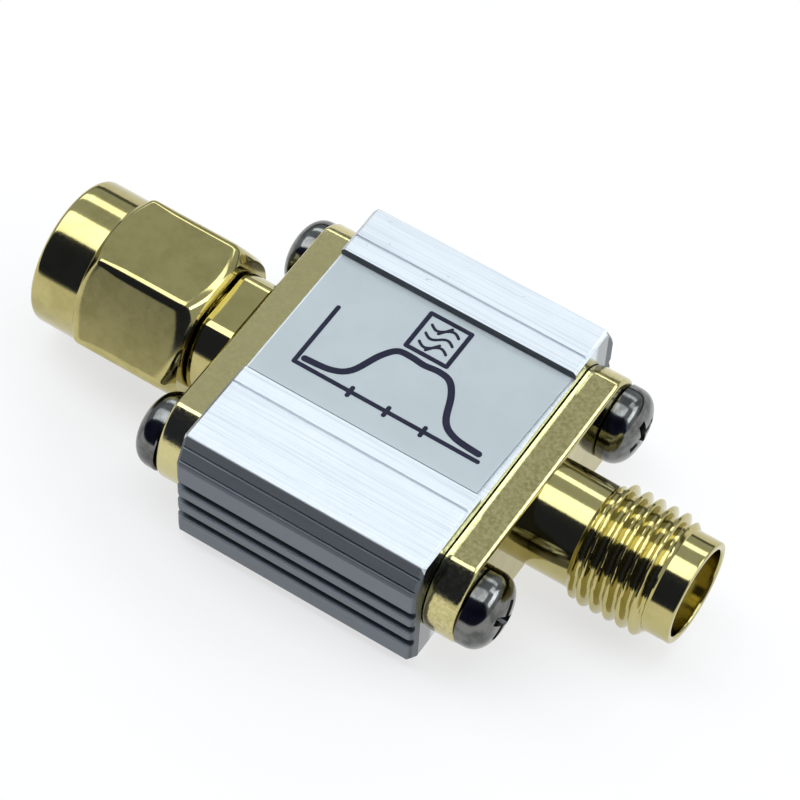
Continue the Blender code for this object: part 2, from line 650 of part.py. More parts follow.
def build_board(collection, laminate, ceramic, tin, ferrite):
    length = 2 * (FLANGE_BACK - BOARD_END_GAP)
    width = CAVITY_WIDTH + 2 * (BOARD_SLOT - SLEEVE_GAP)
    board = box("board", (length, width, BOARD_THICKNESS), (0, 0, BOARD_TOP - BOARD_THICKNESS / 2))
    finish(board, "circuit_board", laminate, collection)
    place_chip("filter_chip", (CHIP_LENGTH, CHIP_LENGTH, CHIP_HEIGHT), 0.0, 0.0, ceramic, collection)
    middle = FLANGE_BACK - TAIL_LENGTH - TAIL_GAP - SMALL_CHIP_LENGTH / 2
    size = (SMALL_CHIP_LENGTH, SMALL_CHIP_WIDTH, SMALL_CHIP_HEIGHT)
    turned_size = (SMALL_CHIP_WIDTH, SMALL_CHIP_LENGTH, SMALL_CHIP_HEIGHT)
    for suffix, x in (("in", -middle), ("out", middle)):
        place_chip(f"capacitor_{suffix}", size, x, 0.0, tin, collection)
        place_chip(f"inductor_{suffix}", turned_size, x, INDUCTOR_OFFSET, ferrite, collection)


def place_chip(name, size, x, y, material, collection):
    chip = box(name, size, (0, 0, size[2] / 2))
    finish(chip, name, material, collection, None, (x, y, BOARD_TOP + SEAT_GAP))


def make_mount(name, side, collection):
    """An empty that carries a connector's frame to one end of the housing."""
    mount = bpy.data.objects.new(name, None)
    mount.empty_display_size = 5 * MM
    mount.location = (side * FLANGE_BACK, 0, AXIS_HEIGHT)
    mount.rotation_euler = (0, side * math.pi / 2, 0)
    collection.objects.link(mount)
    return mount


def main():
    clear_scene()
    collection = bpy.data.collections.new("band_pass_filter")
    bpy.context.scene.collection.children.link(collection)
    aluminium = make_material("aluminium", (0.8, 0.83, 0.86), 0.35, 1.0)
    gold = make_material("gold_plated_brass", (0.78, 0.6, 0.24), 0.22, 1.0)
    steel = make_material("nickel_plated_steel", (0.35, 0.36, 0.37), 0.3, 1.0)
    spring = make_material("beryllium_copper", (0.72, 0.42, 0.22), 0.3, 1.0)
    ptfe = make_material("fluoropolymer", (0.9, 0.9, 0.88), 0.5, 0.0)
    vinyl = make_material("printed_vinyl", (0.6, 0.66, 0.7), 0.4, 0.0)
    silicone = make_material("silicone", (0.55, 0.12, 0.05), 0.6, 0.0)
    laminate = make_material("glass_laminate", (0.03, 0.2, 0.08), 0.45, 0.0)
    ceramic = make_material("ceramic", (0.75, 0.7, 0.6), 0.5, 0.0)
    tin = make_material("tinned_ceramic", (0.55, 0.45, 0.35), 0.4, 0.0)
    ferrite = make_material("ferrite", (0.1, 0.11, 0.13), 0.5, 0.0)

    mounts = {"plug": make_mount("plug_mount", -1, collection), "jack": make_mount("jack_mount", 1, collection)}
    build_housing(collection, aluminium)
    build_label(collection, vinyl)
    build_board(collection, laminate, ceramic, tin, ferrite)
    build_plug(collection, mounts["plug"], gold, ptfe, silicone, spring)
    build_nut(collection, mounts["plug"], gold)
    build_jack(collection, mounts["jack"], gold, ptfe)
    build_screws(collection, mounts, steel)


main()
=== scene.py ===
import math

import bmesh
import bpy
import numpy as np
from mathutils import Matrix, Vector


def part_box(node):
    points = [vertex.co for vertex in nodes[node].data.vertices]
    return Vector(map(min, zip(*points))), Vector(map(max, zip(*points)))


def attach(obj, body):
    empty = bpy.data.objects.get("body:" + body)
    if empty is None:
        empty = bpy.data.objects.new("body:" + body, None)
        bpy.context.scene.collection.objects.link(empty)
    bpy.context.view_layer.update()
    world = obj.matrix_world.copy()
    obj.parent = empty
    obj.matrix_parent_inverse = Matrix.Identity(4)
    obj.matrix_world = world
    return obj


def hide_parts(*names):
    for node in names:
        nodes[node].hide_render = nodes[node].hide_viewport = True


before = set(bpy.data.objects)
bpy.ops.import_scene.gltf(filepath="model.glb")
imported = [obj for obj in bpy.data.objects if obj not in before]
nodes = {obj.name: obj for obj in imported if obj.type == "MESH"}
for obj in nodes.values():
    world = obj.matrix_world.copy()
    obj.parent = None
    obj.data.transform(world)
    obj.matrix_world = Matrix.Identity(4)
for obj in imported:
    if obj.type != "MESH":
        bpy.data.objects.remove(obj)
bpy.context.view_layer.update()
mm = 0.001
axisHeight = 3.8  # of the connectors, in millimetres


class Wire:
    # a socket in an expression: its operators add Math nodes
    def __init__(self, finish, socket):
        self.finish, self.socket = finish, socket

    def math(self, operation, *values):
        return self.finish.node("ShaderNodeMath", {"operation": operation}, dict(enumerate(values)))

    def __add__(self, other):
        return self.math("ADD", self, other)

    def __radd__(self, other):
        return self.math("ADD", other, self)

    def __sub__(self, other):
        return self.math("SUBTRACT", self, other)

    def __rsub__(self, other):
        return self.math("SUBTRACT", other, self)

    def __mul__(self, other):
        return self.math("MULTIPLY", self, other)

    def __rmul__(self, other):
        return self.math("MULTIPLY", other, self)

    def __abs__(self):
        return self.math("ABSOLUTE", self)

    def ramp(self, low, high):
        # 0 below low, 1 above high and smooth between them
        settings = {"interpolation_type": "SMOOTHSTEP"}
        inputs = {"Value": self, "From Min": low, "From Max": high}
        return self.finish.node("ShaderNodeMapRange", settings, inputs)


class Finish:
    # a material and the nodes that make it, or the nodes of a tree that is there already
    def __init__(self, name, roughness, metallic=0.0, tree=None):
        if tree is None:
            self.material = bpy.data.materials.new(name)
            self.material.use_nodes = True
            tree = self.material.node_tree
        self.tree = tree
        self.shader = tree.nodes.get("Principled BSDF")
        if self.shader:
            self.put("Roughness", roughness)
            self.put("Metallic", metallic)

    def node(self, kind, settings, inputs, output=0):
        made = self.tree.nodes.new(kind)
        for key, value in settings.items():
            setattr(made, key, value)
        for key, value in inputs.items():
            self.join(made.inputs[key], value)
        return Wire(self, made.outputs[output])

    def join(self, socket, value):
        if isinstance(value, Wire):
            self.tree.links.new(value.socket, socket)
        else:
            socket.default_value = value

    def put(self, name, value):
        self.join(self.shader.inputs[name], value)

    def place(self, scale=(1, 1, 1)):
        # the point on the piece, in millimetres times the scale
        point = self.node("ShaderNodeTexCoord", {}, {}, "Object")
        size = [axis / mm for axis in scale]
        return self.node("ShaderNodeVectorMath", {"operation": "MULTIPLY"}, {0: point, 1: size})

    def axis(self, index):
        return self.node("ShaderNodeSeparateXYZ", {}, {0: self.place()}, index)

    def facing(self, index):
        # one part of the surface's normal
        normal = self.node("ShaderNodeTexCoord", {}, {}, "Normal")
        return self.node("ShaderNodeSeparateXYZ", {}, {0: normal}, index)

    def noise(self, scale, detail=3.0, roughness=0.5):
        point = self.place(scale)
        inputs = {"Vector": point, "Scale": 1.0, "Detail": detail, "Roughness": roughness}
        return self.node("ShaderNodeTexNoise", {}, inputs, "Fac")

    def mix(self, share, first, second):
        # colours, blended by share
        settings = {"data_type": "RGBA"}
        colors = [c if isinstance(c, Wire) else (*c, 1.0) for c in (first, second)]
        return self.node("ShaderNodeMix", settings, {0: share, 6: colors[0], 7: colors[1]}, 2)

    def bump(self, height, depth):
        # depth in millimetres for a height of 1
        inputs = {"Height": height, "Strength": 1.0, "Distance": depth * mm}
        self.put("Normal", self.node("ShaderNodeBump", {}, inputs))


goldLook = {
    "color": (0.50, 0.44, 0.19), "deep": (0.38, 0.335, 0.13), "pale": (0.66, 0.60, 0.31),
    "clouds": (0.7, 0.7, 0.7), "cloudEdges": (0.35, 0.7),
    "grain": (11, 11, 11), "grainEdges": (0.4, 0.75), "grainHeight": 0.5,
    "turned": (26, 0.3, 0.3),  # marks round the axis
    "plateEnd": (8.42, 8.48),  # where a flange gives way to its neck
    "pebbles": (5, 5, 5), "pebbleEdges": (0.36, 0.64), "pebbleShare": 0.75, "pebbleHeight": 1.3,
    "roughness": 0.09, "haze": 0.13, "pebbleRoughness": 0.06, "depth": 0.0011,
}


def goldFinish(name, mottle, lines, flangePaleness=0.0):
    # mottle is the share of the deeper tone, lines the height of the turning marks,
    # and the last argument how much paler the flange plate is
    s = goldLook
    look = Finish(name, s["roughness"], 1.0)
    cloud = look.noise(s["clouds"], 5.0, 0.65)
    grain = look.noise(s["grain"], 4.0, 0.65)
    turning = look.noise(s["turned"], 2.0, 0.6)
    plate = 1.0 - abs(look.axis(0)).ramp(*s["plateEnd"])
    pebble = look.noise(s["pebbles"], 4.0, 0.7).ramp(*s["pebbleEdges"]) * plate
    base = look.mix(cloud.ramp(*s["cloudEdges"]) * mottle, s["color"], s["deep"])
    paleness = plate * flangePaleness + pebble * (s["pebbleShare"] - flangePaleness)
    look.put("Base Color", look.mix(paleness, base, s["pale"]))
    haze = s["haze"] * cloud * grain.ramp(*s["grainEdges"])
    look.put("Roughness", s["roughness"] + haze + s["pebbleRoughness"] * pebble)
    marks = turning * lines * (1.0 - plate)
    look.bump(grain * s["grainHeight"] + marks + pebble * s["pebbleHeight"], s["depth"])
    return look.material


aluminiumLook = {
    "top": (0.70, 0.74, 0.77), "streak": (0.57, 0.61, 0.64), "speck": (0.36, 0.40, 0.43),
    # shoulder, side and corner are painted shade: darker copies of the top's colour for the flanks
    # and the channel's upright wall, the side walls and the ends' outer corners
    "shoulder": (0.12, 0.135, 0.15), "side": (0.17, 0.19, 0.21), "corner": (0.26, 0.28, 0.28),
    "lines": (0.12, 9, 9), "streakEdges": (0.42, 0.72), "lineHeight": 0.7,
    "fine": (0.5, 34, 34), "fineHeight": 0.3,
    "specks": (2.2, 4, 4), "speckEdges": (0.70, 0.76), "speckShare": 0.7,
    "clouds": (0.35, 0.5, 0.5),
    "shadedFlank": (8.2, 8.25), "wall": (8.9, 8.98), "shadedCornerEdges": (6.9, 7.4),  # from the middle out
    "upright": (0.6, 0.9), "shadedChannelWall": ((5.1, 5.14), (5.17, 5.2)),
    "endFacing": (0.8, 0.95), "endRoughness": 0.08, "endFlatness": 0.95,
    "roughness": 0.34, "lineRoughness": 0.12, "cloudRoughness": 0.08, "depth": 0.012,
}


def aluminiumFinish():
    # drawn lines along the top, painted shade on the flanks, the channel's upright wall, the side
    # walls and the ends' outer corners, and smooth cut ends
    s = aluminiumLook
    look = Finish("extrudedAluminium", s["roughness"], 1.0)
    across = abs(look.axis(1))
    lines = look.noise(s["lines"], 4.0, 0.65)
    fine = look.noise(s["fine"], 2.0, 0.6)
    specks = look.noise(s["specks"], 3.0, 0.5).ramp(*s["speckEdges"])
    cloud = look.noise(s["clouds"], 4.0, 0.6)
    shadedFlank = across.ramp(*s["shadedFlank"])
    near, far = s["shadedChannelWall"]
    shadedChannelWall = abs(look.facing(1)).ramp(*s["upright"]) * look.axis(1).ramp(*near)
    shadedChannelWall = shadedChannelWall * (1.0 - look.axis(1).ramp(*far))
    base = look.mix(lines.ramp(*s["streakEdges"]), s["top"], s["streak"])
    base = look.mix(specks * s["speckShare"], base, s["speck"])
    # painted shade: the shoulder colour on the flanks and the channel's upright wall, then the side
    # colour on the side walls
    base = look.mix((shadedFlank + shadedChannelWall).ramp(0.0, 1.0), base, s["shoulder"])
    base = look.mix(across.ramp(*s["wall"]), base, s["side"])
    # painted shade: the corner colour on the end faces towards their outer corners
    ends = abs(look.facing(0)).ramp(*s["endFacing"]) * (1.0 - shadedFlank)
    look.put("Base Color", look.mix(ends * across.ramp(*s["shadedCornerEdges"]), base, s["corner"]))
    rough = s["roughness"] + s["lineRoughness"] * lines + s["cloudRoughness"] * cloud
    look.put("Roughness", rough + (s["endRoughness"] - rough) * ends)
    height = lines * s["lineHeight"] + fine * s["fineHeight"]
    look.bump(height * (1.0 - ends * s["endFlatness"]), s["depth"])
    return look.material


steelLook = {
    "color": (0.19, 0.192, 0.184), "deep": (0.09, 0.092, 0.087),
    "clouds": (1.2, 1.2, 1.2), "cloudEdges": (0.35, 0.65), "grain": (9, 9, 9),
    "roughness": 0.07, "haze": 0.12, "depth": 0.0015,
}


def steelFinish():
    s = steelLook
    look = Finish("darkNickel", s["roughness"], 1.0)
    cloud = look.noise(s["clouds"], 4.0, 0.6)
    grain = look.noise(s["grain"], 3.0, 0.6)
    look.put("Base Color", look.mix(cloud.ramp(*s["cloudEdges"]), s["color"], s["deep"]))
    look.put("Roughness", s["roughness"] + s["haze"] * cloud)
    look.bump(grain, s["depth"])
    return look.material


plainLook = {"cloudEdges": (0.35, 0.65), "haze": 0.12, "grainScale": 8}


def plainFinish(name, color, shade, roughness, scale, depth, metallic=0.0, gloss=0.5):
    # a smooth material whose colour and gloss drift a little
    s = plainLook
    look = Finish(name, roughness, metallic)
    cloud = look.noise((scale,) * 3, 4.0, 0.6)
    grain = look.noise((scale * s["grainScale"],) * 3, 3.0, 0.6)
    look.put("Base Color", look.mix(cloud.ramp(*s["cloudEdges"]), color, shade))
    look.put("Roughness", roughness + s["haze"] * (cloud - 0.5))
    look.put("Specular IOR Level", gloss)
    look.bump(grain, depth)
    return look.material


filmLook = {
    "color": (0.465, 0.515, 0.525), "shade": (0.44, 0.49, 0.50), "clouds": (0.35, 0.35, 0.35),
    # cut is a painted shade colour for the film's front edge, next to the front ridge
    "cloudEdges": (0.35, 0.65), "cut": (0.07, 0.10, 0.11), "gapShadeEdge": (-3.13, -3.08),
    "ripples": (2.8, 2.8, 2.8), "roughness": 0.32, "haze": 0.1, "depth": 0.003,
}


def filmFinish():
    # the label's film, with painted shade along its front edge, next to the front ridge
    s = filmLook
    look = Finish("greyFilm", s["roughness"])
    cloud = look.noise(s["clouds"], 4.0, 0.6)
    base = look.mix(cloud.ramp(*s["cloudEdges"]), s["color"], s["shade"])
    # painted shade: the cut colour along the film's front edge
    look.put("Base Color", look.mix(look.axis(1).ramp(*s["gapShadeEdge"]), s["cut"], base))
    look.put("Roughness", s["roughness"] + s["haze"] * cloud)
    look.bump(look.noise(s["ripples"]), s["depth"])
    return look.material


sharpAbove = 38  # degrees between faces, on the turned pieces
gold = goldFinish("platedGold", 0.5, 0.25)
plugGold = goldFinish("platedGoldPlug", 0.5, 0.25, 0.6)
nutGold = goldFinish("platedGoldNut", 0.8, 0.15)
aluminium = aluminiumFinish()
steel = steelFinish()
print("finishes made")


def newPiece(name, mesh, material, body, replaced):
    piece = bpy.data.objects.new(name, mesh)
    bpy.context.scene.collection.objects.link(piece)
    piece.data.materials.append(material)
    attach(piece, body)
    if replaced:
        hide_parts(replaced)
    return piece


def smooth(mesh, angle):
    mesh.shade_smooth()
    mesh.set_sharp_from_angle(angle=math.radians(angle))


def joinRings(shape, first, second):
    # a band of faces between two closed rings of vertices
    for i in range(len(first)):
        j = (i + 1) % len(first)
        shape.faces.new((first[i], first[j], second[j], second[i]))


def latheMesh(shape, rows, turns, closed=True):
    # rows of (x, radii) round the axis, as a tube that closes on itself or on caps at its ends
    angles = np.asarray(turns)
    rings = []
    for x, radii in rows:
        radii = np.broadcast_to(np.asarray(radii, float), angles.shape)
        ys, zs = -radii * np.sin(angles), radii * np.cos(angles)
        places = [(x * mm, y * mm, (z + axisHeight) * mm) for y, z in zip(ys, zs)]
        rings.append([shape.verts.new(place) for place in places])
    for first, second in zip(rings, rings[1:]):
        joinRings(shape, first, second)
    if closed:
        joinRings(shape, rings[-1], rings[0])
    else:
        bmesh.ops.holes_fill(shape, edges=[edge for edge in shape.edges if edge.is_boundary])


def arcRows(x, radius, size, start, end, steps):
    # (x, radius) points round a corner of that size, angles in degrees from +x to outward
    angles = [math.radians(start + (end - start) * i / steps) for i in range(steps + 1)]
    return [(x + size * math.cos(a), radius + size * math.sin(a)) for a in angles]


def toMesh(shape, name):
    bmesh.ops.recalc_face_normals(shape, faces=shape.faces)
    mesh = bpy.data.meshes.new(name)
    shape.to_mesh(mesh)
    shape.free()
    return mesh


def carved(mesh, cutters):
    # the mesh less the cutters
    solid = bpy.data.objects.new("solid", mesh)
    bpy.context.scene.collection.objects.link(solid)
    made = [solid]
    for cutterMesh in cutters:
        cutter = bpy.data.objects.new("cutter", cutterMesh)
        bpy.context.scene.collection.objects.link(cutter)
        made.append(cutter)
        cut = solid.modifiers.new("cut", "BOOLEAN")
        cut.operation = "DIFFERENCE"
        cut.solver = "EXACT"
        cut.use_self = True
        cut.object = cutter
    bpy.context.view_layer.update()
    graph = bpy.context.evaluated_depsgraph_get()
    result = bpy.data.meshes.new_from_object(solid.evaluated_get(graph))
    for thing in made:
        bpy.data.objects.remove(thing)
    return result


flangeShape = {
    "back": 6.74, "thickness": 1.75, "halfHeight": 2.86, "endRadius": 3.1191, "endCentre": 5.1309,
    "corner": 0.55, "outerRound": 0.24, "screwHole": 1.15, "screwPlace": 6.35,
    "stepRadius": 1.74, "stepLength": 0.8, "boreRadius": 2.09,
    # (inset, distance from the back) of the worn edge next to the housing
    "innerEdge": [
        (0.09, 0.0), (0.075, 0.008), (0.065, 0.03), (0.032, 0.14), (0.01, 0.24), (0.0, 0.36),
    ],
    "cornerPoints": 6, "endPoints": 41, "sidePoints": 25, "roundPoints": 6, "holePoints": 64,
}


def flangeOutline():
    # (y, z, direction of the outward normal) round the plate, less its corner size
    s = flangeShape
    radius, rise = s["endRadius"] - s["corner"], s["halfHeight"] - s["corner"]
    reach = math.asin(rise / radius)
    run = s["endCentre"] + radius * math.cos(reach)
    upright = math.pi / 2
    found = []
    for turn in (0.0, math.pi):
        flip = math.cos(turn)
        for a in np.linspace(-upright, -reach, s["cornerPoints"])[:-1]:
            found.append((run * flip, -rise * flip, a + turn))
        for a in np.linspace(-reach, reach, s["endPoints"]):
            y, z = s["endCentre"] + radius * math.cos(a), radius * math.sin(a)
            found.append((y * flip, z * flip, a + turn))
        for a in np.linspace(reach, upright, s["cornerPoints"])[1:]:
            found.append((run * flip, rise * flip, a + turn))
        for y in np.linspace(run, -run, s["sidePoints"])[1:-1]:
            found.append((y * flip, rise * flip, upright + turn))
    return found


def flangePlate(side):
    # the plate with rounded edges, at the jack's end for side 1 and the plug's for -1
    s = flangeShape
    rings = list(s["innerEdge"])
    for a in np.linspace(0, math.pi / 2, s["roundPoints"]):
        rise = s["thickness"] - s["outerRound"] * (1 - math.sin(a))
        rings.append((s["outerRound"] * (1 - math.cos(a)), rise))
    shape = bmesh.new()
    made = []
    for inset, x in rings:
        grow = s["corner"] - inset
        made.append([
            shape.verts.new((
                side * (s["back"] + x) * mm, (y + grow * math.cos(a)) * mm,
                (z + grow * math.sin(a) + axisHeight) * mm,
            ))
            for y, z, a in flangeOutline()
        ])
    for first, second in zip(made, made[1:]):
        joinRings(shape, first, second)
    shape.faces.new(made[0])
    shape.faces.new(made[-1])
    mesh = toMesh(shape, "plate")
    start, end = s["back"], s["back"] + s["thickness"]
    step, past = start + s["stepLength"], 1.0  # past the plate's faces
    bore = [
        (start - past, s["stepRadius"]), (step, s["stepRadius"]),
        (step, s["boreRadius"]), (end + past, s["boreRadius"]),
    ]
    hole = [(start - past, s["screwHole"]), (end + past, s["screwHole"])]
    turns = np.linspace(0, math.tau, s["holePoints"], endpoint=False)
    cutters = []
    for rows, y in ((bore, 0), (hole, s["screwPlace"]), (hole, -s["screwPlace"])):
        shape = bmesh.new()
        latheMesh(shape, [(side * x, r) for x, r in rows], turns, closed=False)
        bmesh.ops.translate(shape, verts=shape.verts, vec=(0, y * mm, 0))
        cutters.append(toMesh(shape, "cutter"))
    return carved(mesh, cutters)


jackShape = {
    "start": 8.48, "neckRadius": 2.725, "neckEnd": 11.24, "threadEnd": 15.47, "rim": 16.79,
    "pitch": 0.7056, "crest": 3.15, "depth": 0.4, "crestFlat": 0.14, "rootFlat": 0.2,
    "threadChamfer": 0.42, "neckHold": 0.1,  # length at the thread's start that stays on the neck
    "leadRadius": 2.7, "mouthRadius": 2.31, "mouthDepth": 1.9, "boreRadius": 2.09, "rimRound": 0.11,
    "rimSteps": 5, "edge": 0.02, "faceEdge": 0.03, "turns": 144, "rowsPerPitch": 16,
}


def threadRadius(s, x, angles, start):
    # radii of a right-hand thread at x, its V cut with small flats
    phase = ((x - start) / s["pitch"] - angles / math.tau) % 1.0
    away = np.abs(phase - 0.5) * 2.0  # 0 at the root and 1 at the crest
    low, high = s["rootFlat"], 1.0 - s["crestFlat"]
    share = np.clip((away - low) / (high - low), 0, 1)
    share = (share + share * share * (3 - 2 * share)) / 2  # a little rounded
    return s["crest"] - s["depth"] * (1 - share)


def buildJack():
    s = jackShape
    angles = np.linspace(0, math.tau, s["turns"], endpoint=False)
    edge = s["edge"]
    rows = [(s["start"], s["neckRadius"]), (s["neckEnd"] - edge, s["neckRadius"])]
    count = int((s["threadEnd"] - s["neckEnd"]) / s["pitch"] * s["rowsPerPitch"])
    for x in np.linspace(s["neckEnd"], s["threadEnd"], count):
        radii = threadRadius(s, x, angles, s["neckEnd"])
        back = s["crest"] - s["threadChamfer"] + (x - s["neckEnd"])
        ahead = s["crest"] - s["threadChamfer"] + (s["threadEnd"] - x)
        floor = s["neckRadius"] if x < s["neckEnd"] + s["neckHold"] else s["leadRadius"]
        rows.append((x, np.maximum(np.minimum(radii, min(back, ahead)), floor)))
    rows.append((s["threadEnd"] + edge, s["leadRadius"]))
    size, steps = s["rimRound"], s["rimSteps"]
    rim = s["rim"] - size
    outer = arcRows(rim, s["leadRadius"] - size, size, 90, 0, steps)
    inner = arcRows(rim, s["mouthRadius"] + size, size, 0, -90, steps)
    before = s["rim"] - 3 * size
    rows += [(before, s["leadRadius"]), *outer, *inner, (before, s["mouthRadius"])]
    face = s["rim"] - s["mouthDepth"]
    mouth, bore = s["mouthRadius"], s["boreRadius"]
    rows += [(face + s["faceEdge"], mouth), (face, mouth - edge), (face, bore + edge)]
    rows += [(face - edge, bore), (s["start"], bore)]
    shape = bmesh.new()
    latheMesh(shape, rows, angles)
    shape.from_mesh(flangePlate(1))
    mesh = toMesh(shape, "jackShell")
    smooth(mesh, sharpAbove)
    return newPiece("jackShell", mesh, gold, "filter", "jack_shell")


plugShape = {
    "start": 8.48, "neckRadius": 3.25, "flat": 2.8, "neckEnd": 10.16, "edgeRound": 0.14,
    "faceRound": 0.12, "faceSteps": 5, "barrelRadius": 2.7,
    "ringStart": 11.81, "ringEnd": 12.41, "ringRadius": 2.25, "shoulder": 14.24,
    "noseRadius": 2.285, "noseEdge": 0.04, "face": 16.59, "boreRadius": 2.09,
    "turn": 6,  # degrees between points, with more of them near the flats' edges
    "spread": [0, 1, 2, 3, 4, 5, 7, 9, 12],
}


def roundedRadius(angles, walls, size):
    # radius in each direction of a shape inside walls, rounded by that size where they meet;
    # a wall gives how far a point (y, z) at radius r stands outside it
    low, high = np.zeros_like(angles), np.full_like(angles, 12.0)
    for _ in range(44):  # halves the interval each time
        middle = (low + high) / 2
        y, z = middle * np.sin(angles), middle * np.cos(angles)
        depths = [wall(y, z, middle) + size for wall in walls]
        outside = np.sqrt(sum(np.maximum(d, 0) ** 2 for d in depths))
        inside = np.minimum(np.max(depths, axis=0), 0)
        far = outside + inside - size > 0
        high, low = np.where(far, middle, high), np.where(far, low, middle)
    return (low + high) / 2


def buildPlug():
    s = plugShape
    edge = math.acos(s["flat"] / s["neckRadius"])
    spread = [-a for a in s["spread"]] + s["spread"]
    angles = [math.radians(a) for a in range(0, 360, s["turn"])]
    for centre in (edge, -edge, math.pi - edge, math.pi + edge):
        angles += [(centre + math.radians(a)) % math.tau for a in spread]
    angles = np.array(sorted(set(round(a, 4) for a in angles)))
    walls = [
        lambda y, z, r: r - s["neckRadius"],
        lambda y, z, r: z - s["flat"],
        lambda y, z, r: -z - s["flat"],
    ]
    neck = roundedRadius(angles, walls, s["edgeRound"])
    rows = [(-s["start"], neck), (-(s["neckEnd"] - 3 * s["faceRound"]), neck)]
    for a in np.linspace(0, math.pi / 2, s["faceSteps"]):
        drop = s["faceRound"] * (1 - math.cos(a))
        rows.append((-(s["neckEnd"] - s["faceRound"] * (1 - math.sin(a))), neck - drop))
    nose = s["noseEdge"]
    inner = [
        (s["neckEnd"], s["barrelRadius"]), (s["ringStart"], s["barrelRadius"]),
        (s["ringStart"], s["ringRadius"]), (s["ringEnd"], s["ringRadius"]),
        (s["ringEnd"], s["barrelRadius"]), (s["shoulder"], s["barrelRadius"]),
        (s["shoulder"], s["noseRadius"]), (s["face"] - nose, s["noseRadius"]),
        (s["face"], s["noseRadius"] - nose), (s["face"], s["boreRadius"]),
        (s["start"], s["boreRadius"]),
    ]
    rows += [(-x, radius) for x, radius in inner]
    shape = bmesh.new()
    latheMesh(shape, rows, angles)
    shape.from_mesh(flangePlate(-1))
    mesh = toMesh(shape, "plugShell")
    smooth(mesh, sharpAbove)
    return newPiece("plugShell", mesh, plugGold, "filter", "plug_shell")


nutShape = {
    "back": 10.26, "hexFront": 16.46, "rim": 19.11, "flats": 4.0, "sleeve": 3.9, "sleeveStart": 2.0,
    "corners": (0.14, 0.31), "cornerRun": (0.3, 2.2),  # their rounding, by distance from the front
    "coneFoot": 3.88, "coneSlope": 1.19, "rimRound": 0.3, "rimSteps": 6, "edge": 0.03,
    "lip": 2.78, "lipEdge": 0.1, "ringStart": 11.81, "ringEnd": 12.41, "ringRadius": 3.1,
    "reliefStart": 13.86, "reliefEnd": 15.06, "reliefRadius": 3.275,
    "pitch": 0.7056, "crest": 3.15, "depth": 0.3, "crestFlat": 0.2, "rootFlat": 0.14,
    "threadStart": 0.06, "threadStop": 0.02, "threadRows": 92, "entry": 3.25,
    # degrees from a corner, and millimetres from the hexagon's ends, where there are points
    "aside": [0, 0.5, 1, 1.5, 2, 2.5, 3, 3.5, 4.2, 5, 6, 8, 11, 15, 20, 25, 30],
    "along": [
        0, 0.04, 0.09, 0.15, 0.22, 0.3, 0.38, 0.46, 0.54, 0.62, 0.7, 0.8, 0.92, 1.06, 1.25, 1.5,
        2.0,
    ],
}


def buildNut():
    s = nutShape
    aside = s["aside"]
    angles = []
    for corner in range(30, 390, 60):
        angles += [corner + a for a in aside[:-1]] + [corner - a for a in aside[1:]]
    angles = np.radians(sorted(set(round(a % 360, 3) for a in angles)))
    front, back = s["hexFront"], s["back"]
    steep = math.hypot(1, s["coneSlope"])
    places = [back + a for a in s["along"]] + [front - a for a in s["along"]] + [(back + front) / 2]

    def flat(turn):
        return lambda y, z, r: y * math.sin(turn) + z * math.cos(turn) - s["flats"]

    def cone(run):
        return lambda y, z, r: (r - s["coneFoot"] - s["coneSlope"] * run) / steep

    rows = []
    for x in sorted(set(places)):
        walls = [flat(k * math.pi / 3) for k in range(6)] + [cone(x - back), cone(front - x)]
        radii = roundedRadius(angles, walls, np.interp(front - x, s["cornerRun"], s["corners"]))
        if x > back + s["sleeveStart"]:
            radii = np.maximum(radii, s["sleeve"])
        rows.append((-x, radii))
    rim, size, entry = s["rim"], s["rimRound"], s["entry"]
    rows += [(-front - s["edge"], s["sleeve"]), (-(rim - 2 * size), s["sleeve"])]
    rounded = arcRows(rim - size, s["sleeve"] - size, size, 90, 0, s["rimSteps"])
    rows += [(-x, r) for x, r in rounded]
    rows.append((-rim, entry))
    for x in np.linspace(rim - s["threadStart"], s["reliefEnd"] + s["threadStop"], s["threadRows"]):
        radii = threadRadius(s, x, angles, 0.0)
        rows.append((-x, np.maximum(radii, entry - (rim - x))))
    lip, lipEdge = s["lip"], s["lipEdge"]
    inner = [
        (s["reliefEnd"], s["reliefRadius"]), (s["reliefStart"], s["reliefRadius"]),
        (s["reliefStart"], lip), (s["ringEnd"], lip), (s["ringEnd"], s["ringRadius"]),
        (s["ringStart"], s["ringRadius"]), (s["ringStart"], lip),
        (back + lipEdge, lip), (back, lip + lipEdge),
    ]
    rows += [(-x, radius) for x, radius in inner]
    shape = bmesh.new()
    latheMesh(shape, rows, angles)
    mesh = toMesh(shape, "nutShell")
    smooth(mesh, sharpAbove)
    return newPiece("nutShell", mesh, nutGold, "nut", "coupling_nut")


screwShape = {
    "radius": 2.0, "height": 1.6, "rim": 0.35, "squareness": 0.8, "under": 0.06, "domeSteps": 25,
    "shank": 1.9, "length": 6.0, "threadRows": 84, "edge": 0.02, "turns": 72, "sharpAbove": 35,
    "pitch": 0.4, "crest": 1.0, "depth": 0.22, "crestFlat": 0.12, "rootFlat": 0.2, "point": 0.25,
    "cross": 2.3, "slot": 0.5, "crossDepth": 0.9, "taper": 0.45, "crossRise": 0.4,
    "turned": {"plug_front": 0.3, "plug_back": 1.1, "jack_front": 0.75, "jack_back": 0.15},
}


def crossCutter(top, side, turn):
    # two tapered bars that cross, from above the head down into it
    s = screwShape
    rise, cosine, sine = s["crossRise"], math.cos(turn), math.sin(turn)
    grow = (1 - s["taper"]) * rise / s["crossDepth"] + 1
    shape = bmesh.new()
    for length, width in ((s["cross"], s["slot"]), (s["slot"], s["cross"])):
        rings = []
        for x, size in ((top + rise, grow), (top - s["crossDepth"], s["taper"])):
            ring = []
            for u, v in ((-1, -1), (1, -1), (1, 1), (-1, 1)):
                along, aside = u * length * size / 2, v * width * size / 2
                y, z = along * cosine - aside * sine, along * sine + aside * cosine
                ring.append(shape.verts.new((side * x * mm, y * mm, (z + axisHeight) * mm)))
            shape.faces.new(ring)
            rings.append(ring)
        joinRings(shape, *rings)
    return toMesh(shape, "cutter")


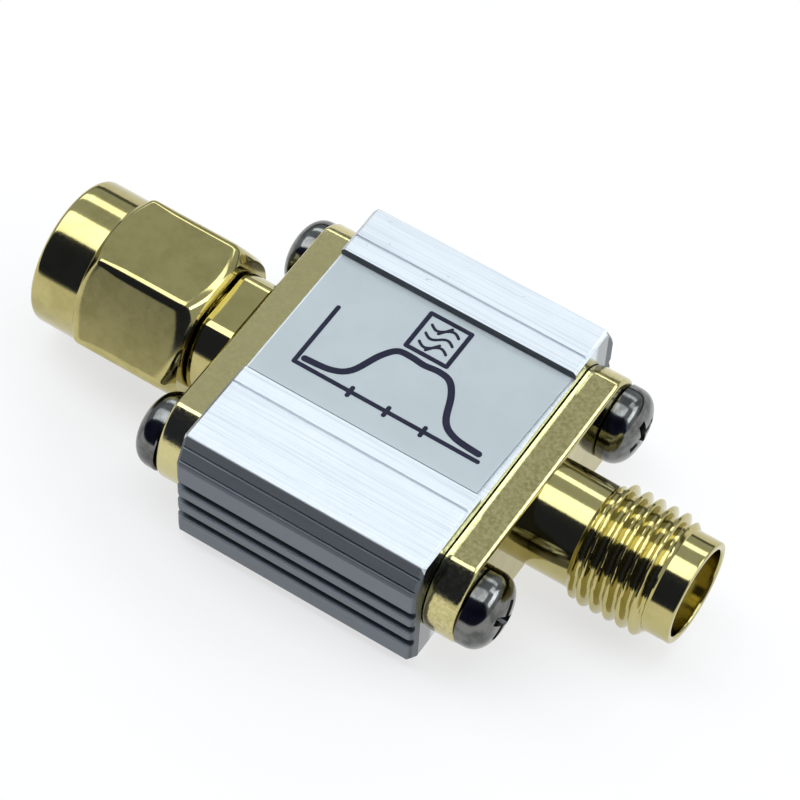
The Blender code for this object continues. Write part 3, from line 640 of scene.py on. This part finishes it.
def buildScrew(end, place):
    s = screwShape
    low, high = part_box(f"screw_{end}_{place}")
    side = 1 if end == "jack" else -1
    top = max(abs(low.x), abs(high.x)) / mm
    seat = top - s["height"]
    angles = np.linspace(0, math.tau, s["turns"], endpoint=False)
    rows = []
    for a in np.linspace(math.radians(2), math.pi / 2, s["domeSteps"]):
        dome = (s["height"] - s["rim"]) * max(math.cos(a), 0.0) ** s["squareness"]
        rows.append((seat + s["rim"] + dome, s["radius"] * math.sin(a) ** s["squareness"]))
    under, shank = s["under"], seat - s["shank"]
    rows += [(seat + under, s["radius"]), (seat, s["radius"] - under)]
    rows += [(seat, s["crest"]), (shank, s["crest"])]
    tip = seat - s["length"]
    for x in np.linspace(shank - s["edge"], tip, s["threadRows"]):
        radii = threadRadius(s, x, angles, 0.0)
        rows.append((x, np.minimum(radii, s["crest"] - s["point"] + max(x - tip, 0.0))))
    shape = bmesh.new()
    latheMesh(shape, [(side * x, r) for x, r in rows], angles, closed=False)
    cross = crossCutter(top, side, s["turned"][f"{end}_{place}"])
    mesh = carved(toMesh(shape, "screw"), [cross])
    mesh.transform(Matrix.Translation((0, (low.y + high.y) / 2, 0)))
    smooth(mesh, s["sharpAbove"])
    name = f"{end}Screw{place.capitalize()}"
    return newPiece(name, mesh, steel, "filter", f"screw_{end}_{place}")


pieces = [buildJack(), buildPlug(), buildNut()]
for end in ("plug", "jack"):
    pieces += [buildScrew(end, "front"), buildScrew(end, "back")]
for piece in pieces:
    even = piece.modifiers.new("even", "WEIGHTED_NORMAL")
    even.keep_sharp = True
print("turned pieces made")


def paintNode(name, material):
    slots = nodes[name].data.materials
    if not slots:
        slots.append(material)
    for i in range(len(slots)):
        slots[i] = material


# colour, shade, roughness, scale of the clouds, depth of the grain
whiteSleeve = plainFinish("waxySleeve", (0.86, 0.86, 0.83), (0.80, 0.80, 0.77), 0.42, 0.8, 0.004)
springCopper = plainFinish(
    "springCopper", (0.72, 0.42, 0.22), (0.58, 0.32, 0.16), 0.28, 1.5, 0.003, metallic=1.0)
redRubber = plainFinish("redRubber", (0.50, 0.07, 0.03), (0.42, 0.05, 0.025), 0.55, 1.0, 0.006)
greenMask = plainFinish("greenMask", (0.02, 0.19, 0.07), (0.015, 0.15, 0.055), 0.35, 0.9, 0.005)
firedCream = plainFinish("firedCream", (0.74, 0.69, 0.58), (0.66, 0.61, 0.5), 0.45, 1.6, 0.006)
tinnedTan = plainFinish("tinnedTan", (0.52, 0.42, 0.32), (0.44, 0.35, 0.26), 0.4, 3.0, 0.004)
darkCore = plainFinish("darkCore", (0.10, 0.11, 0.13), (0.07, 0.08, 0.09), 0.5, 3.0, 0.004)
filmGrey = filmFinish()
inkBlue = plainFinish(
    "darkInk", (0.015, 0.016, 0.034), (0.02, 0.021, 0.042), 0.55, 1.0, 0.002, gloss=0.12)

housingEdges = {"weld": 0.001, "width": 0.05, "segments": 3, "angle": 28}


def dressHousing():
    s = housingEdges
    housing = nodes["housing"]
    weld = housing.modifiers.new("weld", "WELD")
    weld.merge_threshold = s["weld"] * mm
    edges = housing.modifiers.new("edges", "BEVEL")
    edges.width = s["width"] * mm
    edges.segments = s["segments"]
    edges.limit_method = "ANGLE"
    edges.angle_limit = math.radians(s["angle"])
    edges.harden_normals = True
    edges.use_clamp_overlap = True


nodeFinishes = {
    "housing": aluminium, "label": filmGrey, "plug_insulator": whiteSleeve,
    "jack_insulator": whiteSleeve, "plug_pin": gold, "jack_contact": gold, "plug_gasket": redRubber,
    "snap_ring": springCopper, "circuit_board": greenMask, "filter_chip": firedCream,
    "capacitor_in": tinnedTan, "capacitor_out": tinnedTan, "inductor_in": darkCore,
    "inductor_out": darkCore, "screw_plug_front": steel, "screw_plug_back": steel,
    "screw_jack_front": steel, "screw_jack_back": steel,
}
for name, material in nodeFinishes.items():
    paintNode(name, material)
dressHousing()
print("frame painted")


inkShape = {
    "stroke": 0.36, "fine": 0.24, "thin": 0.15, "thickness": 0.006, "stack": 0.0006, "gap": 0.001,
    "response": [
        (-4.6, -2.1), (-3.2, -1.95), (-2.35, -1.4), (-1.75, 0.0), (-1.2, 0.75), (-0.5, 0.85),
        (0.3, 0.78), (1.1, 0.86), (1.8, 0.7), (2.35, 0.0), (2.95, -1.4), (3.8, -1.95), (5.2, -2.1),
    ],
    "responseSteps": 6,
    "frame": [(-4.95, 1.35), (-4.95, -2.5), (5.4, -2.5)],
    "marks": [(-1.75, -2.5), (0.3, -2.5), (2.35, -2.5)], "markRise": 0.25,
    "symbol": {
        "centre": (0.1, 2.45), "half": 1.15,
        "wave": 0.75, "swing": 0.19, "gap": 0.58, "wavePoints": 17, "slash": (0.22, 0.3),
    },
}


def stroke(shape, points, width, height, lift):
    # a closed ribbon with round ends along the points
    line = [Vector(p) for p in points]
    left, right = [], []
    for i, point in enumerate(line):
        ahead = (line[min(i + 1, len(line) - 1)] - line[max(i - 1, 0)]).normalized()
        side = Vector((-ahead.y, ahead.x))
        left.append(point + side * width / 2)
        right.append(point - side * width / 2)
    outline = left
    endWay, startWay = line[-1] - line[-2], line[0] - line[1]
    for centre, way, back in ((line[-1], endWay, right[::-1]), (line[0], startWay, [])):
        way.normalize()
        side = Vector((-way.y, way.x))
        for a in np.linspace(0, math.pi, 9)[1:-1]:
            outline.append(centre + side * math.cos(a) * width / 2 + way * math.sin(a) * width / 2)
        outline += back
    low = [shape.verts.new((p.x * mm, p.y * mm, lift)) for p in outline]
    high = [shape.verts.new((p.x * mm, p.y * mm, lift + height)) for p in outline]
    shape.faces.new(low)
    shape.faces.new(high)
    joinRings(shape, low, high)


def curved(points, steps):
    # a smooth line through the points
    line = [Vector(p) for p in points]
    found = []
    for i in range(len(line) - 1):
        before, after = line[max(i - 1, 0)], line[min(i + 2, len(line) - 1)]
        a, b = line[i], line[i + 1]
        for k in range(steps):
            t = k / steps
            t2, t3 = t * t, t * t * t
            first, second = (b - before) / 2, (after - a) / 2
            ends = a * (2 * t3 - 3 * t2 + 1) + b * (3 * t2 - 2 * t3)
            found.append(ends + first * (t3 - 2 * t2 + t) + second * (t3 - t2))
    found.append(line[-1])
    return found


def buildInk():
    s = inkShape
    low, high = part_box("label")
    middle = Vector(((low.x + high.x) / 2 / mm, (low.y + high.y) / 2 / mm))
    lift, thick = high.z + s["gap"] * mm, s["thickness"] * mm
    shape = bmesh.new()
    heights = iter(np.arange(40) * s["stack"] * mm + thick)  # so that no two strokes share a face

    def draw(points, width, steps=0):
        points = [Vector(p) + middle for p in points]
        stroke(shape, curved(points, steps) if steps else points, width, next(heights), lift)

    draw(s["response"], s["stroke"], s["responseSteps"])
    draw(s["frame"][:2], s["fine"])
    draw(s["frame"][1:], s["fine"])
    for x, y in s["marks"]:
        draw([(x, y - s["markRise"]), (x, y + s["markRise"])], s["fine"])
    sign = s["symbol"]
    cx, cy = sign["centre"]
    half = sign["half"]
    around = ((-half, -half), (half, -half), (half, half), (-half, half))
    corners = [(cx + x, cy + y) for x, y in around]
    for a, b in zip(corners, corners[1:] + corners[:1]):
        draw([a, b], s["fine"])
    across, rise = sign["slash"]
    for k in (-1, 0, 1):
        y = cy + k * sign["gap"]
        wave = [
            (cx + sign["wave"] * t, y + sign["swing"] * math.sin(math.pi * t))
            for t in np.linspace(-1, 1, sign["wavePoints"])
        ]
        draw(wave, s["thin"])
        if k:
            draw([(cx - across, y - rise), (cx + across, y + rise)], s["thin"])
    return newPiece("labelInk", toMesh(shape, "labelInk"), inkBlue, "filter", None)


buildInk()
print("label printed")


stageLook = {
    "halfFloor": 4.0, "floor": (0.93, 0.93, 0.93), "floorGloss": 0.1,
    "veil": {"near": 0.68, "far": 1.0, "edges": (12, 38)},  # how white it shows, middle to far
    "radius": 1.3, "tentColor": (0.94, 1.0, 1.05), "frontColor": (0.85, 1.0, 2.1),
    "tent": {
        "grey": 0.54, "front": 0.028, "low": 0.31, "back": 0.1, "window": 4.6, "skylight": 3.1,
    },
    # where the tent changes, in parts of the direction from the middle
    "frontEdges": (0.20, 0.24), "lowEdges": (0.03, 0.06),
    "backEdges": (0.3, 0.5), "backTop": (-0.17, -0.12),
    "windowRise": ((0.38, 0.42), (0.66, 0.70)), "windowSide": (-0.02, 0.02),
    "windowBack": (-0.12, -0.08), "skylightBack": ((0.36, 0.40), (0.61, 0.65)),
    "skylightSide": (0.14, 0.18), "skylightRise": (0.66, 0.70),
    "lampColor": (0.96, 1.0, 1.04), "ambient": 0.3,
    "overhead": {"size": (1.7, 0.62), "height": 1.0, "centre": (-0.30, 0.0), "radiance": 2.35},
    "strip": {"size": (1.1, 0.2), "distance": 1.0, "height": 36.5, "turn": 14.0, "radiance": 2.5},
}


def buildFloor():
    s = stageLook
    z = min(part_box(name)[0].z for name in nodes)
    far = s["halfFloor"]
    mesh = bpy.data.meshes.new("floor")
    corners = [(-far, -far, z), (far, -far, z), (far, far, z), (-far, far, z)]
    mesh.from_pydata(corners, [], [(0, 1, 2, 3)])
    look = Finish("paleFloor", 0.8)
    look.put("Base Color", (*s["floor"], 1.0))
    look.put("Specular IOR Level", s["floorGloss"])
    white = look.node("ShaderNodeEmission", {}, {"Color": (1.0, 1.0, 1.0, 1.0)})
    veil = s["veil"]
    away = look.node("ShaderNodeVectorMath", {"operation": "LENGTH"}, {0: look.place()}, 1)
    share = veil["near"] + (veil["far"] - veil["near"]) * away.ramp(*veil["edges"])
    lit = Wire(look, look.shader.outputs[0])
    veiled = look.node("ShaderNodeMixShader", {}, {0: share * shownRays(look), 1: lit, 2: white})
    look.join(look.tree.nodes["Material Output"].inputs["Surface"], veiled)
    mesh.materials.append(look.material)
    return bpy.data.objects.new("floor", mesh)


def buildTent():
    # a dome of light round the object: dark in front, with a window at the right and back
    s = stageLook
    shape = bmesh.new()
    bmesh.ops.create_uvsphere(shape, u_segments=64, v_segments=32, radius=s["radius"])
    tent = bpy.data.objects.new("tent", toMesh(shape, "tent"))
    look = Finish("tentCloth", 1.0)
    look.tree.nodes.remove(look.shader)
    point = look.node("ShaderNodeTexCoord", {}, {}, "Object")
    way = look.node("ShaderNodeVectorMath", {"operation": "NORMALIZE"}, {0: point})
    x, y, z = (look.node("ShaderNodeSeparateXYZ", {}, {0: way}, i) for i in range(3))
    light = s["tent"]
    front = (0.0 - y).ramp(*s["frontEdges"])
    high = z.ramp(*s["lowEdges"])
    back = y.ramp(*s["backEdges"]) * (0.0 - z).ramp(*s["backTop"])
    level = light["low"] + (light["front"] - light["low"]) * high
    grey = light["grey"] + (level - light["grey"]) * front + (light["back"] - light["grey"]) * back
    low, top = s["windowRise"]
    window = z.ramp(*low) * (1.0 - z.ramp(*top))
    window = window * (x - y).ramp(*s["windowSide"]) * y.ramp(*s["windowBack"])
    near, far = s["skylightBack"]
    skylight = y.ramp(*near) * (1.0 - y.ramp(*far))
    skylight = skylight * x.ramp(*s["skylightSide"]) * z.ramp(*s["skylightRise"])
    grey = grey + (light["window"] - light["grey"]) * window
    grey = grey + (light["skylight"] - light["grey"]) * skylight
    tint = look.mix(front * high, s["tentColor"], s["frontColor"])
    color = look.node("ShaderNodeVectorMath", {"operation": "SCALE"}, {0: tint, 3: grey})
    glow = look.node("ShaderNodeEmission", {}, {"Color": color})
    look.join(look.tree.nodes["Material Output"].inputs["Surface"], glow)
    tent.data.materials.append(look.material)
    tent.visible_camera = False
    return tent


def shownRays(look):
    # 1 for rays that show the background: from the camera, a reflection or through glass
    kinds = ("Camera", "Glossy", "Transmission")
    rays = [look.node("ShaderNodeLightPath", {}, {}, f"Is {kind} Ray") for kind in kinds]
    return (rays[0] + rays[1] + rays[2]).ramp(0.0, 1.0)


def addLamp(name, size, place, radiance):
    # a rectangle that faces the part, its long side along X
    data = bpy.data.lights.new(name, "AREA")
    data.shape = "RECTANGLE"
    data.size, data.size_y = size
    data.energy = radiance * math.pi * size[0] * size[1]
    data.color = stageLook["lampColor"]
    lamp = bpy.data.objects.new(name, data)
    away = place.normalized()
    rise = away.cross(Vector((1, 0, 0))).normalized()
    along = rise.cross(away)
    turned = Matrix((along, rise, away)).transposed().to_4x4()
    lamp.matrix_world = Matrix.Translation(place) @ turned
    lamp.visible_camera = False
    bpy.context.scene.collection.objects.link(lamp)


def buildStage():
    s = stageLook
    for thing in (buildFloor(), buildTent()):
        bpy.context.scene.collection.objects.link(thing)
    over = s["overhead"]
    addLamp("overhead", over["size"], Vector((*over["centre"], over["height"])), over["radiance"])
    strip = s["strip"]
    rise, turn = math.radians(strip["height"]), math.radians(strip["turn"])
    level = math.cos(rise)
    way = Vector((-math.sin(turn) * level, math.cos(turn) * level, math.sin(rise)))
    addLamp("strip", strip["size"], way * strip["distance"], strip["radiance"])
    world = bpy.data.worlds.new("studio")
    bpy.context.scene.world = world
    world.use_nodes = True
    look = Finish("", 0, 0, world.node_tree)
    background = world.node_tree.nodes["Background"]
    look.join(background.inputs["Strength"], s["ambient"] + (1.0 - s["ambient"]) * shownRays(look))
    look.join(background.inputs["Color"], (1.0, 1.0, 1.0, 1.0))


cameraView = {
    "azimuth": 29.902, "elevation": 54.637, "roll": 3.724, "distance": 167.182,
    "across": 0.078, "up": 1.338, "lens": 155.86, "sensor": 36.0, "clip": (0.01, 20.0),
}


def buildCamera():
    s = cameraView
    azimuth, elevation, roll = (math.radians(s[key]) for key in ("azimuth", "elevation", "roll"))
    flat = math.cos(elevation)
    back = Vector((math.sin(azimuth) * flat, -math.cos(azimuth) * flat, math.sin(elevation)))
    level = Vector((0, 0, 1)).cross(back).normalized()
    rise = back.cross(level)
    right = math.cos(roll) * level + math.sin(roll) * rise
    up = math.cos(roll) * rise - math.sin(roll) * level
    place = s["across"] * level + s["up"] * rise + s["distance"] * back + Vector((0, 0, axisHeight))
    data = bpy.data.cameras.new("camera")
    data.sensor_width = s["sensor"]
    data.lens = s["lens"]
    data.clip_start, data.clip_end = s["clip"]
    camera = bpy.data.objects.new("camera", data)
    bpy.context.scene.collection.objects.link(camera)
    turned = Matrix((right, up, back)).transposed().to_4x4()
    camera.matrix_world = Matrix.Translation(place * mm) @ turned
    bpy.context.scene.camera = camera


buildStage()
buildCamera()
bpy.context.scene.view_settings.view_transform = "Standard"
print("stage and camera set")
